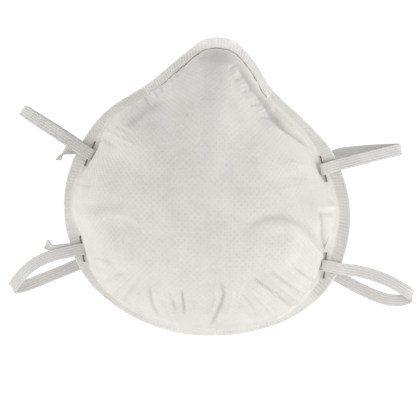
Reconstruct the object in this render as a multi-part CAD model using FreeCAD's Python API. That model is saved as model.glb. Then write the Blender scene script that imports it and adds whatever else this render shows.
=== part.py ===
# Disposable cup-shaped dust mask with two elastic headbands.
#
# Frame: upright, as worn. +Z is up (nose end), the cup bulges towards -Y,
# and the rim's back face, which seals on the face, lies in the plane Y = 0.
# The origin is the middle of the rim's opening in that plane. Millimetres.
#
# Layers of the cup, from outside to inside: spunbond cover, melt-blown
# filter, moulded support shell. All three run out into the flat rim, where
# they are welded together. A nose clip of soft aluminium lies on the rim
# under a welded strip, a foam strip lines the nose inside, and four wire
# staples hold the ends of two flat elastic headbands.
import FreeCAD, Part
import math
import os

V = FreeCAD.Vector
os.makedirs("parts", exist_ok=True)

# ---------------------------------------------------------------- rim and cup
# Rim outline: radius from the origin every 10 degrees, from +X towards +Z.
RIM_R = [64.1, 61.4, 59.0, 55.9, 54.2, 53.6, 56.0, 62.6, 69.0, 68.7, 62.6, 57.8,
         55.4, 56.1, 58.2, 60.0, 61.6, 63.6, 65.4, 66.8, 67.7, 68.7, 68.9, 68.1,
         67.5, 67.0, 66.9, 66.8, 67.3, 68.2, 69.7, 70.7, 71.2, 70.3, 68.5, 66.5]
# Width of the flat rim at the same angles: wide at the staples.
RIM_W = [9.4, 10.3, 9.0, 7.4, 6.2, 5.4, 5.0, 4.9, 4.9, 4.9, 4.9, 4.9,
         5.0, 5.6, 6.4, 7.4, 8.7, 7.6, 5.4, 5.4, 7.7, 7.1, 5.4, 4.2,
         3.8, 3.6, 3.5, 3.5, 3.5, 3.6, 4.0, 5.4, 8.2, 9.8, 8.9, 8.3]
CUP_DEPTH = 48.0            # rim's front face to the tip of the cup, roughly
TIP = (2.0, 0.0)            # X, Z of the tip of the cup
T_COVER = 0.5               # spunbond cover
T_FILTER = 0.9              # melt-blown filter
T_SHELL = 1.1               # moulded support shell
GAP = 0.05                  # the layers lie loose on each other in the cup
T_RIM = 0.5                 # each layer where it is pressed into the rim
# profile exponents: conical towards the nose, full towards the chin
A_TOP, A_LOW = 1.75, 2.7
B_TOP, B_LOW = 1.65, 2.05

# ------------------------------------------------------------- nose clip, foam
CLIP_FROM, CLIP_TO = 59.0, 119.0     # degrees along the rim
CLIP_W, CLIP_T = 3.6, 0.8
STRIP_W, STRIP_T = 4.3, 0.3          # welded strip over the clip
FOAM_FROM, FOAM_TO = 62.0, 117.0
FOAM_T, FOAM_H = 3.6, 9.0

# --------------------------------------------------------------------- staples
CROWN, WIRE = 12.0, 0.5              # crown length and wire thickness
CLINCH = 4.6                         # clinched leg behind the rim
# name: (X, Z of the crown's middle, direction of the crown in X, Z)
STAPLES = {
    "upper_left": ((-53.7, 16.6), (-0.40, -0.917)),
    "upper_right": ((53.2, 9.7), (0.25, -0.968)),
    "lower_left": ((-57.4, -27.2), (0.158, -0.987)),
    "lower_right": ((54.0, -34.3), (-0.10, -0.995)),
}

# ------------------------------------------------------------------- headbands
BAND_W, BAND_T = 5.5, 0.7
Y_LOW = -1.5 - BAND_T / 2            # band layer under the staple's crown
Y_UP = -1.5 - BAND_T - 0.6 - BAND_T / 2   # layer folded back over the crown


def rad(r, deg):
    """Smooth value of a 36-entry table at an angle, by a periodic cubic."""
    t = (deg % 360.0) / 10.0
    i = int(t)
    f = t - i
    p = [r[(i + k - 1) % 36] for k in range(4)]
    return p[1] + 0.5 * f * (p[2] - p[0] + f * (2 * p[0] - 5 * p[1] + 4 * p[2] - p[3]
                                               + f * (3 * (p[1] - p[2]) + p[3] - p[0])))


def rim_point(deg, inset=0.0):
    r = rad(RIM_R, deg) - inset
    return r * math.cos(math.radians(deg)), r * math.sin(math.radians(deg))


def root_point(deg, inset=0.0):
    return rim_point(deg, rad(RIM_W, deg) + inset)


def exps(deg):
    s = 0.5 + 0.5 * math.sin(math.radians(deg))
    s = s * s * (3 - 2 * s)
    return A_LOW + (A_TOP - A_LOW) * s, B_LOW + (B_TOP - B_LOW) * s


def cup_point(deg, h, inset):
    """Point of the cup at a share h of its depth, inset from the outside."""
    a, b = exps(deg)
    rho = (1.0 - h ** b) ** (1.0 / a)
    x, z = root_point(deg, inset)
    return TIP[0] + (x - TIP[0]) * rho, TIP[1] + (z - TIP[1]) * rho


ANG = [7.5 * i for i in range(48)]
LEVELS = [0.0, 0.06, 0.14, 0.26, 0.4, 0.54, 0.67, 0.78, 0.87, 0.935, 0.975, 0.995]


def closed_wire(points, y):
    c = Part.BSplineCurve()
    c.interpolate(Points=[V(x, y, z) for x, z in points], PeriodicFlag=True)
    return Part.Wire([c.toShape()])


def cup(inset, start):
    """Solid inside of the cup's surface, from the plane Y = start forwards."""
    depth = CUP_DEPTH - inset
    wires = [closed_wire([cup_point(a, 0.0, inset) for a in ANG], start)]
    for h in LEVELS[1:]:
        wires.append(closed_wire([cup_point(a, h, inset) for a in ANG], -1.5 - h * depth))
    return Part.makeLoft(wires, True, False)


def plate(y0, y1):
    w = closed_wire([rim_point(a) for a in ANG], y0)
    return Part.Face(w).extrude(V(0, y1 - y0, 0))


def sector(deg0, deg1, outer, inner, y, n=25):
    """Wire of a curved strip along the rim; outer and inner give points."""
    steps = [deg0 + (deg1 - deg0) * i / (n - 1) for i in range(n)]
    po = [V(p[0], y, p[1]) for p in (outer(d) for d in steps)]
    pi = [V(p[0], y, p[1]) for p in (inner(d) for d in steps)]
    co, ci = Part.BSplineCurve(), Part.BSplineCurve()
    co.interpolate(Points=po)
    ci.interpolate(Points=pi)
    return Part.Wire([co.toShape(), Part.LineSegment(po[-1], pi[-1]).toShape(),
                      ci.toShape(), Part.LineSegment(pi[0], po[0]).toShape()])


def save(shape, name):
    if shape.ShapeType == "Compound" and len(shape.Solids) == 1:
        shape = shape.Solids[0]
    print("%-26s solids %d valid %s volume %.1f mm3" % (name, len(shape.Solids), shape.isValid(), shape.Volume))
    shape.exportStep("parts/%s.step" % name)
    return shape


# ---------------------------------------------------------------- staple wires
def bar(p, q, w, up):
    """Square bar from p to q, w across, with one side along up."""
    d = q.sub(p)
    length = d.Length
    d.normalize()
    u = V(up.x, up.y, up.z)
    s = d.cross(u)
    s.normalize()
    o = p.sub(s * (w / 2)).sub(u * (w / 2))
    poly = Part.makePolygon([o, o + s * w, o + s * w + u * w, o + u * w, o])
    return Part.Face(poly).extrude(d * length)


def staple(at, way):
    n = math.hypot(*way)
    t = V(way[0] / n, 0, way[1] / n)
    side = V(t.z, 0, -t.x)
    c = V(at[0], 0, at[1])
    yc = -1.5 - BAND_T - WIRE / 2
    half = CROWN / 2
    up = V(0, 1, 0)
    crown = bar(c + V(0, yc, 0) - t * half, c + V(0, yc, 0) + t * half, WIRE, up)
    out, legs = crown, []
    for s in (-1, 1):
        foot = c + t * (s * (half - WIRE / 2))
        leg = bar(foot + V(0, yc - WIRE / 2, 0), foot + V(0, WIRE, 0), WIRE, side)
        hook = bar(foot + t * (s * WIRE / 2) + V(0, WIRE / 2, 0),
                   foot - t * (s * (CLINCH - WIRE / 2)) + V(0, WIRE / 2, 0), WIRE, up)
        out = out.fuse([leg, hook])
        legs.append(leg)
    return out.removeSplitter(), legs


# --------------------------------------------------------------------- ribbons
def ribbon(stations, before=None, after=None, width=BAND_W, thick=BAND_T):
    """Flat band through stations of (point, width direction), facetted.

    before and after are the neighbouring stations of the next piece of the
    same band, so that the two pieces meet face to face."""
    sections = []
    n = len(stations)
    for i, (p, w) in enumerate(stations):
        a = stations[i - 1][0] if i else (before or stations[0])[0]
        b = stations[i + 1][0] if i < n - 1 else (after or stations[-1])[0]
        t = b.sub(a)
        t.normalize()
        w = w.sub(t * w.dot(t))
        w.normalize()
        k = t.cross(w)
        hw, ht = w * (width / 2), k * (thick / 2)
        sections.append([p - hw - ht, p + hw - ht, p + hw + ht, p - hw + ht])
    faces = []

    def tri(a, b, c):
        faces.append(Part.Face(Part.makePolygon([a, b, c, a])))

    for a, b in zip(sections, sections[1:]):
        for i in range(4):
            j = (i + 1) % 4
            tri(a[i], a[j], b[j])
            tri(a[i], b[j], b[i])
    for c in (sections[0], sections[-1]):
        faces.append(Part.Face(Part.makePolygon(c + [c[0]])))
    shell = Part.Shell(faces)
    shell.sewShape()
    solid = Part.Solid(shell)
    if solid.Volume < 0:
        solid.reverse()
    return solid


def root_stations(at, along, tail, turn_in=1.25):
    """End of a band: tail tip, inwards under the crown, folded back over it."""
    n = math.hypot(*along)
    d = V(along[0] / n, 0, along[1] / n)
    w = V(-d.z, 0, d.x) if d.x > 0 else V(d.z, 0, -d.x)
    c = V(at[0], 0, at[1])
    r = (Y_LOW - Y_UP) / 2
    mid = (Y_LOW + Y_UP) / 2
    st = []
    for s in tail:
        st.append((c + d * s + V(0, Y_LOW, 0), w))
    back = c - d * 0.7
    st.append((back + V(0, Y_LOW, 0), w))
    for k in range(1, 6):
        a = math.pi * k / 6
        st.append((back - d * (r * math.sin(a)) + V(0, mid + r * math.cos(a), 0), w))
    st.append((back + V(0, Y_UP, 0), w))
    return st, c, d, w


def run(points, w):
    return [(V(*p), w if isinstance(w, V) else V(*w)) for p in points]


if __name__ == "__main__":
    # cup layers ---------------------------------------------------------------
    i1 = T_COVER
    i2 = i1 + GAP + T_FILTER
    i3 = i2 + GAP + T_SHELL
    s0 = cup(0.0, -1.0)
    c1 = cup(i1, -0.5)
    s1 = cup(i1 + GAP, -0.5)
    c2 = cup(i2, 0.5)
    s2 = cup(i2 + GAP, 0.0)
    c3 = cup(i3, 2.0)
    cover = plate(-1.5, -1.0).fuse(s0).cut(c1)
    filt = plate(-1.0, -0.5).fuse(s1).cut(c2)
    shell = plate(-0.5, 0.0).fuse(s2).cut(c3)

    # staples and their pierced holes ------------------------------------------
    for name, (at, way) in STAPLES.items():
        wire, legs = staple(at, way)
        save(wire, name + "_staple")
        for leg in legs:
            cover = cover.cut(leg)
            filt = filt.cut(leg)
            shell = shell.cut(leg)
    save(cover, "outer_cover")
    save(filt, "filter_layer")
    save(shell, "inner_shell")

    # nose clip, its strip, the foam -------------------------------------------
    e = (STRIP_W - CLIP_W) / 2
    clip_face = Part.Face(sector(CLIP_FROM, CLIP_TO, lambda d: rim_point(d, 0.15 + e),
                                 lambda d: rim_point(d, 0.15 + e + CLIP_W), -1.5))
    clip = clip_face.extrude(V(0, -CLIP_T, 0))
    strip_face = Part.Face(sector(CLIP_FROM - 1.2, CLIP_TO + 1.2, lambda d: rim_point(d, 0.15),
                                  lambda d: rim_point(d, 0.15 + STRIP_W), -1.5))
    strip = strip_face.extrude(V(0, -(CLIP_T + STRIP_T), 0)).cut(clip)
    save(clip, "nose_clip")
    save(strip, "nose_clip_strip")

    levels = [0.0, 0.06, 0.13, 0.19]
    wires = []
    for h in levels:
        y = -0.8 - h * (CUP_DEPTH - i3)
        wires.append(sector(FOAM_FROM, FOAM_TO, lambda d, h=h: cup_point(d, h, i3 + 0.35),
                            lambda d, h=h: cup_point(d, h, i3 + 0.35 + FOAM_T), y))
    save(Part.makeLoft(wires, True, True), "nose_foam")

    # headbands ----------------------------------------------------------------
    # Each band leaves its staple outwards, turns back in an open fold and
    # crosses behind the rim to the other side. The middle is its own node.
    lengths = {}

    def band(prefix, left, right, middle):
        total = 0.0
        for stations, name, after in ((*left, middle[1]), (*right, middle[-2])):
            solid = ribbon(stations, None, after)
            save(solid, name)
            step = sum(stations[i + 1][0].sub(stations[i][0]).Length for i in range(len(stations) - 1))
            print("   centreline %.1f mm, section check %.1f mm3" % (step, step * BAND_W * BAND_T))
            total += step
        solid = ribbon(middle, left[0][-2], right[0][-2])
        save(solid, prefix + "_headband_back")
        step = sum(middle[i + 1][0].sub(middle[i][0]).Length for i in range(len(middle) - 1))
        total += step
        lengths[prefix] = total

    # upper left
    st, c, d, w = root_stations(STAPLES["upper_left"][0], (-0.845, 0.535), [15.5, 12.0, 9.0, 3.5])
    # the free tail droops a little
    st[0] = (st[0][0] + V(1.5, 1.6, -8.0), w)
    st[1] = (st[1][0] + V(0.9, 0.6, -5.0), w)
    st[2] = (st[2][0] + V(0.3, 0.0, -2.4), w)
    up_left = st + run([(-59.0, -3.0, 19.8), (-67.3, -2.3, 25.2), (-76.5, -0.4, 30.9), (-82.6, 1.8, 34.8)], w)
    up_left += run([(-84.6, 3.1, 36.1), (-85.4, 4.3, 36.6), (-84.6, 5.6, 36.1)], V(0.6, 0, 0.8))
    up_left += run([(-82.0, 6.4, 34.5), (-76.0, 7.0, 30.7), (-67.0, 7.8, 25.0), (-60.0, 8.6, 20.2)], V(0.56, 0, 0.83))
    # upper right
    st, c, d, w = root_stations(STAPLES["upper_right"][0], (0.972, 0.235), [5.5, 3.0])
    up_right = st + run([(58.5, -2.6, 11.3), (66.0, -1.2, 13.2), (76.0, 0.6, 15.7), (84.5, 2.2, 17.8)], w)
    up_right += run([(87.4, 3.1, 18.4), (88.3, 4.3, 18.6), (87.4, 5.6, 18.6)], V(-0.16, 0, 0.98))
    up_right += run([(84.0, 6.4, 18.5), (76.0, 7.0, 18.1), (67.0, 7.8, 17.3), (60.0, 8.6, 16.2)], V(-0.08, 0, 0.99))
    up_mid = run([(-60.0, 8.6, 20.2), (-50.0, 9.8, 13.0), (-38.0, 11.2, 6.2), (-22.0, 12.6, 0.8), (0.0, 13.4, -1.8),
                  (22.0, 12.6, -0.2), (38.0, 11.2, 5.0), (50.0, 9.8, 11.0), (60.0, 8.6, 16.2)], V(0, 0, 1))
    up_mid[0] = (up_mid[0][0], V(0.56, 0, 0.83))
    up_mid[1] = (up_mid[1][0], V(0.5, 0, 0.86))
    up_mid[-2] = (up_mid[-2][0], V(-0.42, 0, 0.9))
    up_mid[-1] = (up_mid[-1][0], V(-0.08, 0, 0.99))
    band("upper", (up_left, "upper_headband_left"), (up_right, "upper_headband_right"), up_mid)

    # lower left
    st, c, d, w = root_stations(STAPLES["lower_left"][0], (-0.995, -0.1), [17.5, 13.5, 9.8, 3.5])
    st[0] = (st[0][0] + V(-0.5, 1.7, 4.4), w)
    st[1] = (st[1][0] + V(0, 0.7, 3.4), w)
    st[2] = (st[2][0] + V(0, 0.0, 2.0), w)
    lo_left = st + run([(-62.7, -3.0, -28.2)], w) + run([(-69.6, -2.6, -29.8)], V(-0.28, 0, 0.96))
    lo_left += run([(-76.5, -1.4, -32.5)], V(-0.42, 0, 0.9)) + run([(-82.4, 0.3, -36.2)], V(-0.55, 0, 0.83))
    lo_left += run([(-87.0, 2.2, -40.8)], V(-0.64, 0, 0.77))
    lo_left += run([(-89.9, 3.5, -44.7), (-90.8, 4.7, -45.9), (-89.6, 5.9, -46.0)], V(-0.59, 0, 0.81))
    lo_left += run([(-85.0, 6.6, -45.0), (-76.5, 7.1, -41.7), (-67.3, 7.8, -38.0), (-60.0, 8.6, -35.0)], V(-0.38, 0, 0.92))
    # lower right
    st, c, d, w = root_stations(STAPLES["lower_right"][0], (0.99, -0.13), [5.5, 3.0])
    lo_right = st + run([(60.9, -2.6, -35.7)], w) + run([(67.8, -1.4, -36.6)], V(0.18, 0, 0.98))
    lo_right += run([(74.7, -0.2, -38.3)], V(0.28, 0, 0.96)) + run([(81.5, 1.0, -40.8)], V(0.38, 0, 0.92))
    lo_right += run([(88.0, 2.2, -44.2)], V(0.46, 0, 0.89))
    lo_right += run([(92.6, 3.2, -47.3), (93.8, 4.4, -48.6), (92.6, 5.7, -49.6)], V(0.2, 0, 0.98))
    lo_right += run([(89.0, 6.4, -50.9), (83.0, 6.9, -50.6), (76.0, 7.3, -48.3), (68.0, 7.9, -44.6), (60.5, 8.6, -40.6)], V(0.36, 0, 0.93))
    lo_mid = run([(-60.0, 8.6, -35.0), (-50.0, 9.8, -32.6), (-38.0, 11.2, -33.0), (-20.0, 12.6, -35.4), (0.0, 13.4, -37.0),
                  (20.0, 12.6, -37.0), (38.0, 11.2, -35.9), (50.0, 9.8, -36.6), (60.5, 8.6, -40.6)], V(0, 0, 1))
    lo_mid[0] = (lo_mid[0][0], V(-0.38, 0, 0.92))
    lo_mid[-1] = (lo_mid[-1][0], V(0.36, 0, 0.93))
    band("lower", (lo_left, "lower_headband_left"), (lo_right, "lower_headband_right"), lo_mid)
    for k, v in lengths.items():
        print("%s headband centreline length %.1f mm" % (k, v))
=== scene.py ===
# Disposable cup-shaped dust mask: the looks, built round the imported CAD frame.
# All geometry is worked out in millimetres and stored in metres.
import math

import bpy
import numpy as np
from mathutils import Matrix, Vector


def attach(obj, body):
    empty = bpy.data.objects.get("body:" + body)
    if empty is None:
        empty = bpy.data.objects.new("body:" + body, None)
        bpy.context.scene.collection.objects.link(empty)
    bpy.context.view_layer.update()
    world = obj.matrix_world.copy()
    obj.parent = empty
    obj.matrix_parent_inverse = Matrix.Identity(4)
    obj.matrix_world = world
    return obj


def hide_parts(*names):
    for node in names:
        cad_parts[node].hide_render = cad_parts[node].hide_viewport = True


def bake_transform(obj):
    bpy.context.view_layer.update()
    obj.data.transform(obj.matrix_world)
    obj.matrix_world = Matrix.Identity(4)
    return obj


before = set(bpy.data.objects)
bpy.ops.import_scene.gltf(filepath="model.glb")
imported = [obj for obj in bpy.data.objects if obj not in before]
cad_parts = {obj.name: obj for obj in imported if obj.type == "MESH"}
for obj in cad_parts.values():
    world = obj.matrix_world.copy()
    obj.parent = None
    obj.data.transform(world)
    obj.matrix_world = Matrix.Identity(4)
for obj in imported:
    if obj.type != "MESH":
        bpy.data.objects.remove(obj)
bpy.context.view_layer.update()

MM = 0.001
rng = np.random.default_rng(20)

# ------------------------------------------------------------------ camera
# The picture's frame is 420 x 420; PX is millimetres per pixel in the plane
# of the rim, and (PX0, PZ0) is the pixel where the frame's origin lies.
PX, PX0, PZ0 = 0.458, 207.0, 190.0
CAM_DIST, CAM_AZ, CAM_EL = 760.0, 3.0, 3.0
aim = np.array([(210 - PX0) * PX, 0.0, (PZ0 - 210) * PX])
ca, sa = math.cos(math.radians(CAM_AZ)), math.sin(math.radians(CAM_AZ))
ce, se = math.cos(math.radians(CAM_EL)), math.sin(math.radians(CAM_EL))
back = np.array([sa * ce, -ca * ce, se])
eye = aim + back * CAM_DIST
cam_data = bpy.data.cameras.new("camera")
cam = bpy.data.objects.new("camera", cam_data)
bpy.context.scene.collection.objects.link(cam)
cam.location = Vector(eye * MM)
cam.rotation_mode = "QUATERNION"
cam.rotation_quaternion = Vector(-back).to_track_quat("-Z", "Y")
cam_data.sensor_width = 36.0
cam_data.lens = 18.0 * CAM_DIST / (210 * PX)
cam_data.clip_start, cam_data.clip_end = 0.01, 50.0
bpy.context.scene.camera = cam
right = np.array([ca, sa, 0.0])
upv = np.cross(right, -back)


def to_picture(p):
    """Where points (N x 3, mm) show in the 420 x 420 frame."""
    d = p - eye
    depth = -(d @ back)
    f = CAM_DIST / depth / PX
    return 210 + (d @ right) * f, 210 - (d @ upv) * f


# ------------------------------------------------------------ shape tables
RIM_R = [64.1, 61.4, 59.0, 55.9, 54.2, 53.6, 56.0, 62.6, 69.0, 68.7, 62.6, 57.8,
         55.4, 56.1, 58.2, 60.0, 61.6, 63.6, 65.4, 66.8, 67.7, 68.7, 68.9, 68.1,
         67.5, 67.0, 66.9, 66.8, 67.3, 68.2, 69.7, 70.7, 71.2, 70.3, 68.5, 66.5]
RIM_W = [8.8, 10.2, 8.6, 6.0, 5.0, 4.8, 4.8, 4.9, 4.9, 4.9, 4.9, 4.8,
         4.4, 4.3, 4.6, 6.4, 8.6, 7.4, 5.2, 5.3, 7.6, 7.0, 5.0, 4.0,
         3.6, 3.4, 3.3, 3.3, 3.3, 3.4, 3.8, 5.2, 8.1, 9.8, 8.7, 7.8]
CUP_DEPTH = 48.0
TIP = np.array([2.0, 0.0])
A_TOP, A_LOW, B_TOP, B_LOW = 1.75, 2.7, 1.65, 2.05
STAPLES = {
    "upper_left": ((-53.7, 16.6), (-0.40, -0.917)),
    "upper_right": ((53.2, 9.7), (0.25, -0.968)),
    "lower_left": ((-57.4, -27.2), (0.158, -0.987)),
    "lower_right": ((54.0, -34.3), (-0.10, -0.995)),
}


def table(r, deg):
    r = np.asarray(r)
    t = np.mod(deg, 360.0) / 10.0
    i = np.floor(t).astype(int)
    f = t - i
    p = [r[(i + k - 1) % 36] for k in range(4)]
    return p[1] + 0.5 * f * (p[2] - p[0] + f * (2 * p[0] - 5 * p[1] + 4 * p[2] - p[3]
                                               + f * (3 * (p[1] - p[2]) + p[3] - p[0])))


def rim_xz(deg, inset=0.0):
    r = table(RIM_R, deg) - inset
    a = np.radians(deg)
    return np.stack([r * np.cos(a), r * np.sin(a)], -1)


def exps(deg):
    s = 0.5 + 0.5 * np.sin(np.radians(deg))
    s = s * s * (3 - 2 * s)
    return A_LOW + (A_TOP - A_LOW) * s, B_LOW + (B_TOP - B_LOW) * s


def rim_wave(x, z):
    """The welded rim isn't quite flat: nose and chin lean forward a little."""
    r = np.hypot(x, z)
    a = np.arctan2(z, x)
    k = np.clip(r / 60.0, 0, 1.4) ** 2
    return k * (-0.9 * np.cos(2 * (a - math.pi / 2)) + 0.22 * np.sin(5 * a + 0.7) + 0.14 * np.sin(9 * a + 2.1))


def warp(p):
    """The whole mask follows the wave of its rim, the cup less and less."""
    p = np.array(p, float)
    fade = np.clip(1 + (p[..., 1] + 1.5) / 26.0, 0, 1)
    p[..., 1] += rim_wave(p[..., 0], p[..., 2]) * fade
    return p


# ---------------------------------------------------------------- mesh tools
def new_mesh(name, verts, faces, body, material, smooth=True):
    me = bpy.data.meshes.new(name)
    me.from_pydata((np.asarray(verts) * MM).tolist(), [], faces)
    me.validate()
    me.polygons.foreach_set("use_smooth", [smooth] * len(me.polygons))
    me.materials.append(material)
    ob = bpy.data.objects.new(name, me)
    bpy.context.scene.collection.objects.link(ob)
    if body:
        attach(ob, body)
    return ob


class Rings:
    """A closed surface made of rings round the mask, from pole to pole. Two
    neighbouring rings have the same count or one has three times the other's."""

    def __init__(self):
        self.v, self.f, self.flat, self.rings = [], [], [], []
        self.n = 0

    def ring(self, pts, flat=None):
        n = len(pts)
        start = self.n
        self.v.append(pts)
        self.flat.append(flat if flat is not None else np.zeros((n, 4)))
        self.n += n
        if self.rings:
            s0, n0 = self.rings[-1]
            if n0 == n:
                for i in range(n):
                    j = (i + 1) % n
                    self.f.append((s0 + i, s0 + j, start + j, start + i))
            elif n == 3 * n0:
                for i in range(n0):
                    j = (i + 1) % n0
                    k = 3 * i
                    self.f.append((s0 + i, s0 + j, start + (k + 3) % n, start + k + 2))
                    self.f.append((s0 + i, start + k + 2, start + k + 1, start + k))
            elif n0 == 3 * n:
                for i in range(n):
                    j = (i + 1) % n
                    k = 3 * i
                    self.f.append((s0 + k, s0 + k + 1, s0 + k + 2, start + i))
                    self.f.append((s0 + k + 2, s0 + (k + 3) % n0, start + j, start + i))
            else:
                raise ValueError("ring counts %d and %d" % (n0, n))
        self.rings.append((start, n))

    def pole(self, p, first, flat=None):
        self.v.append(np.array([p], float))
        self.flat.append(np.zeros((1, 4)) if flat is None else np.array([flat]))
        k = self.n
        self.n += 1
        s, n = self.rings[0] if first else self.rings[-1]
        for i in range(n):
            j = (i + 1) % n
            self.f.append((k, s + j, s + i) if first else (k, s + i, s + j))

    def done(self):
        return np.concatenate(self.v), self.f, np.concatenate(self.flat)


def add_flat(ob, flat):
    """Surface coordinates in mm, for weave and embossing, and painted shade:
    how much darker a point's colour is painted in creases and pressed pits."""
    flat = np.asarray(flat, np.float32)
    a = ob.data.attributes.new("flat", "FLOAT_VECTOR", "POINT")
    a.data.foreach_set("vector", np.ascontiguousarray(flat[:, :3]).reshape(-1))
    if flat.shape[1] > 3:
        a = ob.data.attributes.new("painted_shade", "FLOAT", "POINT")
        a.data.foreach_set("value", np.ascontiguousarray(flat[:, 3]))


# ------------------------------------------------------- creases and wrinkles
# Each line: points in the picture's frame, height (mm, + stands out), half
# width (px), and how far it fades in from its ends (share of its length).
LINES = [
    # right shoulder: the fold over the lower bulge
    ([(240, 235), (249, 226), (262, 219), (281, 217), (297, 222), (309, 232), (318, 246), (324, 262)], -0.95, 4.6, 0.3),
    ([(252, 238), (262, 230), (279, 227), (294, 231), (307, 242), (317, 256)], 0.5, 5.0, 0.35),
    ([(299, 231), (311, 243), (321, 256), (323, 264)], 0.75, 1.5, 0.3),
    # left shoulder
    ([(80, 226), (96, 219), (116, 215), (132, 218), (143, 227), (152, 236)], 0.36, 2.6, 0.35),
    ([(84, 216), (100, 209), (120, 206), (137, 210)], -0.45, 5.5, 0.35),
    # valley inside the rim, right of the nose
    ([(232, 57), (246, 76), (260, 96), (270, 111), (283, 127), (298, 139), (312, 149)], -1.9, 2.4, 0.2),
    # short gathers across it, beside the nose strip
    ([(240, 63), (233, 66), (228, 71)], -0.8, 1.1, 0.3),
    ([(243, 69), (236, 72), (230, 77)], 0.6, 1.1, 0.3),
    ([(247, 75), (239, 78), (233, 82)], -0.85, 1.2, 0.3),
    ([(251, 82), (243, 84), (237, 87)], 0.6, 1.1, 0.3),
    ([(255, 88), (247, 91), (240, 93)], -0.85, 1.2, 0.3),
    ([(259, 95), (251, 97), (243, 100)], 0.6, 1.1, 0.3),
    ([(264, 102), (255, 104), (248, 106)], -0.8, 1.2, 0.3),
    ([(269, 108), (260, 111), (253, 112)], 0.55, 1.2, 0.3),
    ([(276, 117), (266, 117), (256, 118)], -0.7, 1.3, 0.3),
    # soft hollow beside its left half, with a few gathers
    ([(201, 56), (186, 67), (171, 79), (157, 92)], -0.55, 3.2, 0.25),
    ([(176, 71), (180, 79)], -0.5, 1.2, 0.35),
    ([(168, 78), (172, 86)], 0.45, 1.2, 0.35),
    ([(160, 84), (165, 94)], -0.5, 1.3, 0.35),
    ([(152, 90), (158, 101)], 0.5, 1.3, 0.35),
    ([(144, 95), (151, 107)], -0.5, 1.3, 0.35),
    ([(258, 121), (271, 127), (287, 134), (303, 148)], 1.1, 3.0, 0.3),
    ([(264, 99), (275, 114), (290, 127), (306, 139)], 0.9, 2.2, 0.25),
    # left flank valley and folds by the upper left staple
    ([(166, 100), (152, 108), (138, 119), (124, 131)], -0.9, 4.0, 0.3),
    ([(100, 128), (112, 134), (126, 141), (141, 147)], 0.45, 1.7, 0.3),
    ([(97, 136), (108, 142), (120, 149)], -0.4, 1.6, 0.3),
    ([(112, 124), (124, 130), (133, 137)], -0.4, 1.8, 0.3),
    # facet edges of the middle panel
    ([(187, 118), (176, 135), (166, 160), (160, 190), (158, 214)], 0.35, 5.0, 0.3),
    ([(240, 108), (252, 132), (258, 160), (256, 190)], 0.3, 5.5, 0.3),
    # pleats down to the chin
    ([(150, 284), (150, 292), (153, 304), (160, 318)], -0.75, 1.7, 0.25),
    ([(146, 283), (146, 292), (149, 303)], 0.55, 1.5, 0.3),
    ([(163, 289), (168, 302), (173, 318), (176, 328)], 0.95, 1.5, 0.25),
    ([(168, 289), (172, 300), (177, 314)], -0.5, 1.5, 0.3),
    ([(181, 287), (183, 300), (184, 316)], -0.9, 1.6, 0.25),
    ([(187, 288), (189, 300), (190, 312)], 0.4, 1.4, 0.3),
    ([(219, 280), (223, 291), (221, 303), (215, 317), (208, 330)], -0.95, 1.8, 0.2),
    ([(213, 283), (216, 294), (214, 305), (208, 318)], 0.65, 1.8, 0.25),
    ([(231, 285), (232, 297), (229, 309), (226, 320)], 0.7, 1.7, 0.25),
    ([(203, 292), (204, 305), (200, 321)], 0.35, 1.6, 0.3),
    # slanting pleats, lower right
    ([(250, 276), (266, 288), (283, 301), (299, 312)], -1.1, 1.6, 0.2),
    ([(257, 272), (273, 283), (291, 296), (308, 307)], 1.0, 1.6, 0.2),
    ([(265, 269), (281, 280), (298, 292), (314, 302)], -0.95, 1.5, 0.25),
    ([(276, 266), (291, 276), (306, 286), (320, 296)], 0.85, 1.5, 0.25),
    ([(287, 264), (300, 272), (312, 280), (323, 287)], -0.75, 1.4, 0.3),
    ([(243, 283), (256, 296), (268, 309), (277, 319)], 0.8, 1.5, 0.3),
    ([(238, 290), (248, 302), (257, 315)], -0.4, 1.5, 0.3),
    # pleats, lower left
    ([(88, 262), (97, 268), (110, 276), (122, 282)], 0.5, 1.6, 0.3),
    ([(92, 256), (104, 260), (118, 264)], -0.5, 1.6, 0.3),
    ([(98, 288), (107, 281), (118, 275), (130, 271)], -0.5, 1.6, 0.3),
    ([(108, 299), (116, 290), (125, 282), (134, 277)], 0.5, 1.6, 0.3),
    ([(121, 307), (127, 297), (134, 287), (140, 280)], -0.5, 1.6, 0.3),
    ([(132, 313), (136, 302), (140, 292)], 0.4, 1.6, 0.3),
    # dent at the right-hand side
    ([(321, 206), (323, 220), (325, 238), (326, 256)], -1.6, 1.9, 0.25),
    ([(330, 212), (332, 226), (331, 242), (329, 256)], 0.9, 2.0, 0.3),
    ([(318, 208), (328, 207), (338, 207)], 0.7, 1.7, 0.3),
    ([(316, 214), (326, 214), (336, 214)], -0.7, 2.0, 0.3),
    # small pulls at the staples and the nose
    ([(283, 160), (296, 163), (310, 168)], 0.35, 1.8, 0.35),
    ([(280, 176), (296, 177), (311, 178)], -0.35, 2.0, 0.35),
    ([(276, 190), (292, 186), (310, 186)], 0.3, 2.0, 0.35),
    ([(207, 55), (218, 52), (229, 55)], -0.7, 2.2, 0.3),
    ([(209, 64), (205, 78), (203, 95)], 0.25, 3.5, 0.4),
    ([(228, 64), (234, 80), (238, 98)], -0.3, 3.0, 0.4),
    ([(70, 180), (82, 184), (98, 186)], -0.25, 2.0, 0.4),
    ([(71, 200), (84, 199), (99, 203)], 0.3, 2.2, 0.4),
    ([(188, 110), (188, 118)], -0.4, 1.6, 0.5),
]


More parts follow.
